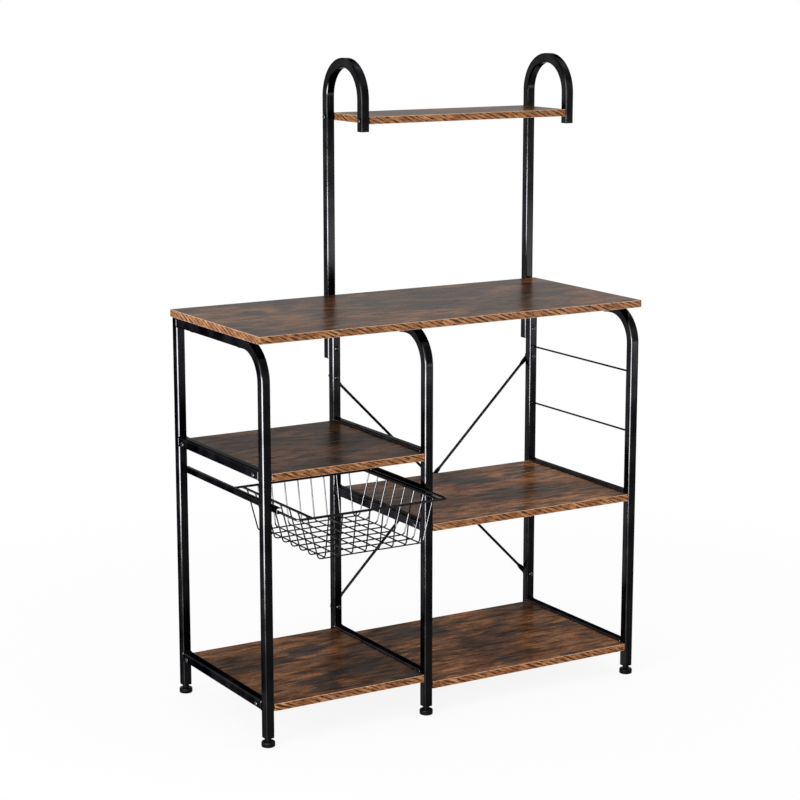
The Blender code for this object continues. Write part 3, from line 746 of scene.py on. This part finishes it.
def board(cad_name, tone, sheen, shift):
    """A board of the CAD node's size: laminate faces, banded edges and eased corners."""
    middle, half = middle_of(cad_name)
    bm = bmesh.new()
    bmesh.ops.create_cube(bm, size=2)
    bmesh.ops.scale(bm, vec=half, verts=bm.verts)
    bmesh.ops.translate(bm, vec=middle, verts=bm.verts)
    uprights = [edge for edge in bm.edges if abs(edge.verts[0].co.z - edge.verts[1].co.z) > half.z]
    bevelled(bm, uprights, corner_round, corner_round_steps)
    bevelled(bm, level_edges(bm), edge_round, edge_round_steps)
    bm.normal_update()
    for face in bm.faces:
        face.material_index = board_finish(face)
    laminate = laminate_finish(cad_name + "_laminate", tone, sheen, shift)
    flat_faced(finished(bm, cad_name + "_panel", [laminate, edge_band, painted_highlight_edge], "brown_laminate",
                        "stand", cad_name))


# Each board gets its tone, which holds its painted light and shade, and its sheen.
for index, (cad_name, (tone, sheen)) in enumerate(plank_lit_tones_and_sheens.items()):
    board(cad_name, tone, sheen, Vector(print_steps) * index)

# Bolts. Low domed bolts with hex sockets, in blackened zinc, go sideways through the rails and posts
# into the ends of the boards. Their heads lie on the tubes' faces.
bolt_head_height = 0.0028
bolt_head_radius = 0.005
bolt_head_rim = 0.0007
bolt_radius = 0.003
bolt_steps = 24
bolt_dome_steps = 20
socket_sides = 6
socket_width = 0.003
socket_depth = 0.0016
socket_land = 0.0021
bolt_grip = 0.020
tube_bolt_nodes = [board_name + "_bolt_" + end_name
                   for board_name in ("left_shelf", "left_floor", "right_shelf", "hutch_shelf")
                   for end_name in ("back", "front")]


def bolt(bm, base, direction, length, plain):
    """A bolt whose head stands on the base point, with its shank plain and then threaded."""
    rise = bolt_head_height - bolt_head_rim
    dome = [(radius, bolt_head_rim + height)
            for radius, height in arc(bolt_head_radius, rise, 0, 1, bolt_dome_steps)
            if radius > socket_land]
    outline = ([(socket_land, bolt_head_height)] + dome[::-1] + [(bolt_head_radius, 0), (bolt_radius, 0)]
               + thread(bolt_radius, -plain, -length) + [(0, -length)])
    before = set(bm.verts)
    lathe(bm, outline, bolt_steps)
    land = [edge for edge in bm.edges if edge.is_boundary]
    mouth = round_section(bm, 1, bolt_steps)
    for vert in ends_of(mouth):
        turn = math.atan2(vert.co.y, vert.co.x)
        from_flat = turn % (math.tau / socket_sides) - math.pi / socket_sides
        vert.co *= socket_width / 2 / math.cos(from_flat)
    bmesh.ops.translate(bm, vec=up * bolt_head_height, verts=ends_of(mouth))
    bmesh.ops.bridge_loops(bm, edges=land + mouth)
    socket_floor = drawn_out(bm, mouth)
    bmesh.ops.translate(bm, vec=-up * socket_depth, verts=ends_of(socket_floor))
    bmesh.ops.holes_fill(bm, edges=socket_floor)
    added = [vert for vert in bm.verts if vert not in before]
    bmesh.ops.transform(bm, matrix=turned_to(direction, base), verts=added)


def bolt_piece(name, base, direction, length, *nodes):
    """A blackened bolt as a piece of the stand."""
    bm = bmesh.new()
    bolt(bm, base, direction, length, bolt_grip)
    finished(bm, name, [black_zinc], "black_zinc", "stand", *nodes)


def bolt_for(cad_name, direction):
    """The bolt that stands for a CAD node: its head is at the node's end in the direction."""
    middle, half = middle_of(cad_name)
    reach = abs(half.dot(direction))
    bolt_piece(cad_name + "_steel", middle + direction * (reach - bolt_head_height), direction,
               2 * reach - bolt_head_height, cad_name)


for cad_name in tube_bolt_nodes:
    bolt_for(cad_name, -across)

# Far bolts. The boards' right ends are bolted the same way, from the far side of the tubes there. The
# right floor board has bolts at its right end only.
far_faces = {"left_shelf_bolt": "centre_left_shelf_rail", "left_floor_bolt": "centre_floor_rail",
             "right_shelf_bolt": "right_shelf_rail", "hutch_shelf_bolt": "hutch_post_right"}
far_bolt_length = 2 * middle_of("left_shelf_bolt_back")[1].x - bolt_head_height
for bolt_name, tube_name in far_faces.items():
    for end_name in ("back", "front"):
        point = middle_of(bolt_name + "_" + end_name)[0]
        bolt_piece(bolt_name + "_" + end_name + "_far_end",
                   Vector((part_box(tube_name)[1].x, point.y, point.z)), across, far_bolt_length)
floor_middle = middle_of("right_floor_board")[0]
for end_name in ("back", "front"):
    point = middle_of("right_shelf_bolt_" + end_name)[0]
    bolt_piece("right_floor_bolt_" + end_name + "_far_end",
               Vector((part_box("right_floor_rail")[1].x, point.y, floor_middle.z)), across,
               far_bolt_length)

# Worktop screws. Two bolts of the same kind go up through each top rail into the underside of the
# worktop, and their heads lie under the rail.
top_screw_places = {"front": -0.090, "back": 0.120}
top_screw_length = 0.028
for frame_name in frame_names:
    low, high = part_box(frame_name + "_bent_leg")
    for end_name, y in top_screw_places.items():
        bolt_piece(frame_name + "_worktop_screw_" + end_name,
                   Vector((low.x + half_side, y, high.z - tube_side)), -up, top_screw_length)

# Basket runners. A folded steel channel is fixed along the inner faces of the left and centre legs,
# under the left shelf. The basket's rim slides in it, and its front end stands out past the leg.
runner_wall = 0.0012
for cad_name, way in (("left_basket_runner", 1), ("centre_basket_runner", -1)):
    low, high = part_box(cad_name)
    web = low.x if way > 0 else high.x
    lip = high.x if way > 0 else low.x
    folded_sheet(cad_name + "_sheet",
                 [(lip, low.y, low.z), (web, low.y, low.z), (web, low.y, high.z), (lip, low.y, high.z)],
                 high.y - low.y, runner_wall, cad_name)

# Wire basket. A rectangular rim of thick wire slides in the runners. Thinner wires hang from it
# crosswise and lengthwise as shallow U shapes, spot welded where they cross, and all is enamelled.
basket_rim_radius = 0.0025
basket_rim_corner = 0.006
basket_flange = 0.0254
basket_body_shift = 0.007
basket_wire_radius = 0.0014
basket_wire_corner = 0.008
basket_side_lean = 0.024
basket_end_lean = 0.016
basket_depth = 0.0885
long_wire_count = 8
long_wire_margin = 0.0115
cross_wire_count = 8
cross_wire_margin = 0.006
spot_weld_radius = 0.0019
wire_sides = 12
rim_sides = 16
wire_ripple_scale = 420
wire_shine = 1.6
wire_enamel = enamel_finish("wire_enamel", wire_ripple_scale, enamel_ripple_depth, wire_shine)

basket_low, basket_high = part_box("basket")
rim_middle = (basket_low + basket_high) / 2
rim_middle.z = basket_high.z - basket_rim_radius
half_rim = (basket_high.x - basket_low.x) / 2 - basket_rim_radius
half_length = (basket_high.y - basket_low.y) / 2 - basket_rim_radius
half_mouth = half_rim - basket_flange
half_bottom_width = half_mouth - basket_side_lean
half_bottom_length = half_length - basket_end_lean
body_middle = rim_middle + across * basket_body_shift


def evenly(count, half_span):
    """Evenly spaced places from one end of a span to the other."""
    return [half_span * (2 * index / (count - 1) - 1) for index in range(count)]


def hanging_wire(bm, way, start, half_top, half_bottom, drop):
    """A U shaped wire that hangs from the rim on both sides of the start, along the given way."""
    rod(bm, basket_wire_radius, wire_sides,
        [start - way * half_top, start - way * half_bottom - up * drop,
         start + way * half_bottom - up * drop, start + way * half_top], basket_wire_corner)


bm = bmesh.new()
rim_corners = [(0, -1), (1, -1), (1, 1), (-1, 1), (-1, -1), (0, -1)]
rim_path = [rim_middle + across * half_rim * x + back * half_length * y for x, y in rim_corners]
sweep(bm, round_section(bm, basket_rim_radius, rim_sides), *route(rim_path, basket_rim_corner))
for way in (-1, 1):
    side_middle = body_middle + across * way * half_mouth
    rod(bm, basket_rim_radius, rim_sides,
        [side_middle - back * half_length, side_middle + back * half_length], 0)
cross_places = evenly(cross_wire_count, half_bottom_length - cross_wire_margin)
long_places = evenly(long_wire_count, half_bottom_width - long_wire_margin)
for y in cross_places:
    hanging_wire(bm, across, body_middle + back * y, half_mouth, half_bottom_width, basket_depth)
for x in long_places:
    hanging_wire(bm, back, body_middle + across * x, half_length, half_bottom_length,
                 basket_depth - 2 * basket_wire_radius)
finished(bm, "basket_wires", [wire_enamel], "black_enamel", "basket", "basket")

weld_drop = basket_depth - basket_wire_radius
weld_points = [(x, y, -weld_drop) for x in long_places for y in cross_places]
for way in (-1, 1):
    weld_points += [(way * half_mouth, y, -basket_rim_radius) for y in cross_places]
    weld_points += [(x, way * half_length, -basket_rim_radius) for x in long_places]
bm = bmesh.new()
for point in weld_points:
    bmesh.ops.create_icosphere(bm, subdivisions=1, radius=spot_weld_radius,
                               matrix=Matrix.Translation(body_middle + Vector(point)))
finished(bm, "basket_spot_welds", [weld_enamel], "black_enamel", "basket")

# Cross brace. Two round rods cross behind the right bay. Their ends and middles are pressed flat and
# drilled, and bolts hold them to the back legs and to each other.
brace_rod_sides = 20
tab_half_width = 0.0055
tab_half_depth = 0.00125
tab_past_bolt = 0.009
tab_length = 0.020
tab_round_steps = 5
tab_tip_width_share = 0.25
tab_tip_depth_share = 0.5
tab_edge_depth_share = 0.6
tab_shoulder_share = 1 / 3
flatten_length = 0.012
flatten_steps = 6
brace_low, brace_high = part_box("brace_rod_front")
brace_rod_radius = (brace_high.y - brace_low.y) / 2
brace_bolts = {name: middle_of("brace_bolt_" + name)[0]
               for name in ("centre_lower", "centre_upper", "right_lower", "right_upper")}
leg_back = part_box("right_back_leg")[1].y
seat_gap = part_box("worktop")[0].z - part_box("left_back_leg")[1].z
tab_front = leg_back + seat_gap
rear_set_back = 2 * tab_half_depth + seat_gap


def pressed_stations(half):
    """Places, half widths and half depths from a flattened rod's tip to its middle."""
    stations = [(-half - tab_past_bolt, tab_half_width * tab_tip_width_share,
                 tab_half_depth * tab_tip_depth_share)]
    for step in range(1, tab_round_steps):
        share = step / tab_round_steps
        inward = tab_past_bolt * (1 - math.sqrt(1 - share ** 2)) / 2
        stations.append((-half - tab_past_bolt + inward,
                         tab_half_width * math.sqrt(1 - (1 - share) ** 2),
                         tab_half_depth * (tab_edge_depth_share + (1 - tab_edge_depth_share) * share)))
    stations.append((-half - tab_past_bolt * tab_shoulder_share, tab_half_width, tab_half_depth))
    for start, rounding in ((-half + tab_length, True), (-tab_length - flatten_length, False)):
        for step in range(flatten_steps + 1):
            share = step / flatten_steps
            ease = share * share * (3 - 2 * share)
            blend = ease if rounding else 1 - ease
            stations.append((start + share * flatten_length,
                             tab_half_width + (brace_rod_radius - tab_half_width) * blend,
                             tab_half_depth + (brace_rod_radius - tab_half_depth) * blend))
    return stations


def pressed_rod(name, first_name, last_name, set_back, cad_name):
    """A rod from bolt to bolt, pressed flat at its ends and its middle, and bowed back there."""
    first, last = (Vector((brace_bolts[end].x, tab_front + tab_half_depth, brace_bolts[end].z))
                   for end in (first_name, last_name))
    along = (last - first).normalized()
    sideways = along.cross(back)
    half = (last - first).length / 2
    stations = pressed_stations(half)
    mirrored = [(-place, width, depth) for place, width, depth in reversed(stations)]
    bm = bmesh.new()
    first_loop = round_section(bm, 1, brace_rod_sides)
    edges = first_loop
    before = Matrix.Identity(4)
    for index, (place, width, depth) in enumerate(stations + mirrored):
        away = max(abs(place) - tab_length, 0) / (half - tab_length)
        centre = (first + last) / 2 + along * place + back * set_back * max(1 - away, 0)
        shape = Matrix((sideways * width, back * depth, along)).transposed().to_4x4()
        after = Matrix.Translation(centre) @ shape
        if index:
            edges = drawn_out(bm, edges)
        bmesh.ops.transform(bm, matrix=after @ before.inverted(), verts=ends_of(edges))
        before = after
    bmesh.ops.holes_fill(bm, edges=first_loop + edges)
    finished(bm, name, [black_enamel], "black_enamel", "stand", cad_name)


pressed_rod("brace_front_rod", "centre_upper", "right_lower", 0, "brace_rod_front")
pressed_rod("brace_rear_rod", "centre_lower", "right_upper", rear_set_back, "brace_rod_rear")

# Through bolts. Longer bolts pass through the back legs. Two in each hold the brace's ends and two
# hold the foot of a hutch post, all with hex nuts behind. A short one pins the brace's crossing.
nut_width = 0.010
nut_height = 0.005
nut_chamfer = 0.0008
nut_chamfer_steps = 2
nut_sides = 6


def nut(name, point, *nodes):
    """A hex nut with chamfered corners whose front face is at the point, square to Y."""
    bm = bmesh.new()
    corner = nut_width / 2 / math.cos(math.pi / nut_sides)
    bmesh.ops.create_cone(bm, cap_ends=True, segments=nut_sides, radius1=corner, radius2=corner,
                          depth=nut_height)
    bevelled(bm, bm.edges[:], nut_chamfer, nut_chamfer_steps)
    bmesh.ops.transform(bm, matrix=turned_to(back, Vector(point) + back * nut_height / 2), verts=bm.verts)
    finished(bm, name, [black_zinc], "black_zinc", "stand", *nodes)


nut_places = {"post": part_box("hutch_post_left")[1].y + seat_gap, "brace": tab_front + 2 * tab_half_depth}
for frame_name in ("centre", "right"):
    for height_name in ("lower", "upper"):
        for kind, nut_y in nut_places.items():
            cad_name = kind + "_bolt_" + frame_name + "_" + height_name
            bolt_for(cad_name, -back)
            middle = middle_of(cad_name)[0]
            nut(cad_name + "_nut", (middle.x, nut_y, middle.z))
bolt_for("brace_centre_bolt", -back)
crossing = middle_of("brace_centre_bolt")[0]
crossing_nut_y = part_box("brace_centre_nut")[0].y
nut("brace_crossing_nut", (crossing.x, crossing_nut_y, crossing.z), "brace_centre_nut")

# Hutch posts. Two more lengths of the square tube rise behind the back legs, bend forwards over the
# hutch shelf in a half circle and end beside its front edge. Plastic caps close their ends.
hook_end_drop = 0.146
cap_flange = 0.0015
cap_depth = 0.010
for side_name in ("left", "right"):
    cad_name = "hutch_post_" + side_name
    low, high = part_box(cad_name)
    hook_radius = (high.y - low.y - tube_side) / 2
    post_foot = Vector((low.x + half_side, high.y - half_side, low.z))
    hook_end = Vector((low.x + half_side, low.y + half_side, high.z - hook_end_drop))
    upright = high.z - half_side - hook_radius - low.z
    drop = hook_end_drop - half_side - hook_radius
    square_tube(side_name + "_hutch_tube", post_foot, up,
                [upright, (hook_radius, math.pi, -back), drop], cad_name)
    for end_name, point in (("foot", post_foot), ("hook", hook_end)):
        plug(side_name + "_hutch_" + end_name + "_cap", point - up * cap_flange, cap_flange, cap_depth)

# Studio. The stand is on a pale floor in a white room, lit by a large soft lamp at the left, a weak one
# overhead and a weak one at the right. Two more strips only draw the lights down the glossy tubes and
# on the fronts of the hutch posts. The camera looks from the front left.
camera_place = Vector((-2.2592, -3.7330, 1.4927))
camera_aim = Vector((-0.0218, 0, 0.6181))
camera_lens = 96.08
camera_sensor = 36
lamp_aim = Vector((0, 0, 0.6))
soft_lamps = {"left_softbox": ((-4.4, -1.3, 2.0), (2.4, 2.4), 140),
              "overhead_softbox": ((0.9, -0.5, 2.7), (1.6, 1.4), 8),
              "right_softbox": ((2.8, -2.2, 1.6), (1.4, 2.0), 12)}
glint_lamps = {"left_strip": ((-1.35, -0.85, 0.42), (1.6, 0.9), 160),
               "post_strip": ((1.95, -2.75, 0.38), (1.4, 0.45), 18)}
floor_reach = 30
floor_colour = (0.88, 0.88, 0.88)
floor_roughness = 0.9
floor_shine = 0.1
near_floor = 0.9
far_floor = 2.0
near_white_share = 0.90
white = (1, 1, 1)
room_light = 0.75
seen_room_light = 1


def aimed(place, target):
    """The turn of a lamp or camera at a place that looks at a target."""
    return (target - Vector(place)).to_track_quat("-Z", "Y").to_euler()


for lamp_name, (place, size, power) in {**soft_lamps, **glint_lamps}.items():
    light = bpy.data.lights.new(lamp_name, "AREA")
    light.shape = "RECTANGLE"
    light.size, light.size_y = size
    light.energy = power
    lamp = bpy.data.objects.new(lamp_name, light)
    lamp.location = place
    lamp.rotation_euler = aimed(place, lamp_aim)
    lamp.visible_diffuse = lamp_name not in glint_lamps
    bpy.context.scene.collection.objects.link(lamp)


def seen_ray(tree):
    """One for a ray from the camera, a reflection or a clear piece, and zero for the rest."""
    path = node(tree, "LightPath", {})
    seen = worked(tree, "MAXIMUM", path.outputs["Is Camera Ray"], path.outputs["Is Glossy Ray"])
    return worked(tree, "MAXIMUM", seen, path.outputs["Is Transmission Ray"])


def floor_finish():
    """A pale matt floor. Away from the stand it shows as plain white."""
    finish, tree, shader, place = new_finish("pale_floor")
    shader.inputs["Roughness"].default_value = floor_roughness
    shader.inputs["Specular IOR Level"].default_value = floor_shine
    shader.inputs["Base Color"].default_value = (*floor_colour, 1)
    away = node(tree, "VectorMath", {0: place}, operation="LENGTH").outputs["Value"]
    plain = levels(tree, away, (near_floor, far_floor), (near_white_share, 1))
    glow = node(tree, "Emission", {"Color": (*white, 1), "Strength": 1})
    share = worked(tree, "MULTIPLY", seen_ray(tree), plain)
    shown = node(tree, "MixShader", {0: share, 1: shader.outputs["BSDF"], 2: glow.outputs["Emission"]})
    tree.links.new(shown.outputs["Shader"], tree.nodes["Material Output"].inputs["Surface"])
    return finish


bm = bmesh.new()
bmesh.ops.create_grid(bm, x_segments=2, y_segments=2, size=floor_reach)
floor_mesh = bpy.data.meshes.new("studio_floor")
bm.to_mesh(floor_mesh)
bm.free()
floor_mesh.materials.append(floor_finish())
studio_floor = bpy.data.objects.new("studio_floor", floor_mesh)
bpy.context.scene.collection.objects.link(studio_floor)

world = bpy.data.worlds.new("studio")
world.use_nodes = True
bpy.context.scene.world = world
room_strength = levels(world.node_tree, seen_ray(world.node_tree), (0, 1), (room_light, seen_room_light),
                       "LINEAR")
background = world.node_tree.nodes["Background"]
background.inputs["Color"].default_value = (*white, 1)
world.node_tree.links.new(room_strength, background.inputs["Strength"])

camera_data = bpy.data.cameras.new("photo_camera")
camera_data.lens = camera_lens
camera_data.sensor_width = camera_sensor
camera = bpy.data.objects.new("photo_camera", camera_data)
camera.location = camera_place
camera.rotation_euler = aimed(camera_place, camera_aim)
bpy.context.scene.collection.objects.link(camera)
bpy.context.scene.camera = camera
bpy.context.scene.view_settings.view_transform = "Standard"
